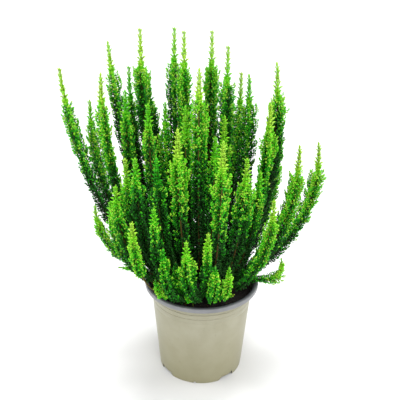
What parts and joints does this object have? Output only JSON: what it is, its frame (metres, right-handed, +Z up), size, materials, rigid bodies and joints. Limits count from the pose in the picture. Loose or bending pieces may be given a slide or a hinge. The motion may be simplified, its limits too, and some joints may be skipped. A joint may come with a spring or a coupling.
{
  "type": "potted heather plant",
  "caption": "Bushy heather with tall upright leafy stems, rooted in peat in a tapered round plastic nursery pot with a turned-out lip.",
  "frame": {"origin": "centre of the pot's base, on the surface that the pot stands on", "axes": "+Z up along the pot's axis, -Y towards the front of the plant, +X to the right as seen from the front"},
  "size_m": [0.2618, 0.204, 0.355],
  "materials": {
    "pot_plastic": "satin",
    "peat": "matte",
    "foliage": "matte"
  },
  "bodies": {
    "root": {"pot": "pot_plastic", "soil": "peat", "leafy_stem_01": "foliage", "leafy_stem_02": "foliage", "leafy_stem_03": "foliage", "leafy_stem_04": "foliage", "leafy_stem_05": "foliage", "leafy_stem_06": "foliage", "leafy_stem_07": "foliage", "leafy_stem_08": "foliage", "leafy_stem_09": "foliage", "leafy_stem_10": "foliage", "leafy_stem_11": "foliage", "leafy_stem_12": "foliage", "leafy_stem_13": "foliage", "leafy_stem_14": "foliage", "leafy_stem_15": "foliage", "leafy_stem_16": "foliage", "leafy_stem_17": "foliage", "leafy_stem_18": "foliage", "leafy_stem_19": "foliage", "leafy_stem_20": "foliage", "leafy_stem_21": "foliage", "leafy_stem_22": "foliage", "leafy_stem_23": "foliage", "leafy_stem_24": "foliage", "leafy_stem_25": "foliage", "leafy_stem_26": "foliage", "leafy_stem_27": "foliage", "leafy_stem_28": "foliage", "leafy_stem_29": "foliage", "leafy_stem_30": "foliage", "leafy_stem_31": "foliage", "leafy_stem_32": "foliage", "leafy_stem_33": "foliage", "leafy_stem_34": "foliage", "leafy_stem_35": "foliage", "leafy_stem_36": "foliage", "leafy_stem_37": "foliage", "leafy_stem_38": "foliage", "leafy_stem_39": "foliage", "leafy_stem_40": "foliage", "leafy_stem_41": "foliage", "leafy_stem_42": "foliage", "leafy_stem_43": "foliage", "leafy_stem_44": "foliage", "leafy_stem_45": "foliage", "leafy_stem_46": "foliage", "leafy_stem_47": "foliage", "leafy_stem_48": "foliage", "leafy_stem_49": "foliage", "leafy_stem_50": "foliage", "leafy_stem_51": "foliage", "leafy_stem_52": "foliage", "leafy_stem_53": "foliage", "leafy_stem_54": "foliage", "leafy_stem_55": "foliage", "leafy_stem_56": "foliage", "leafy_stem_57": "foliage", "leafy_stem_58": "foliage"}
  },
  "joints": []
}
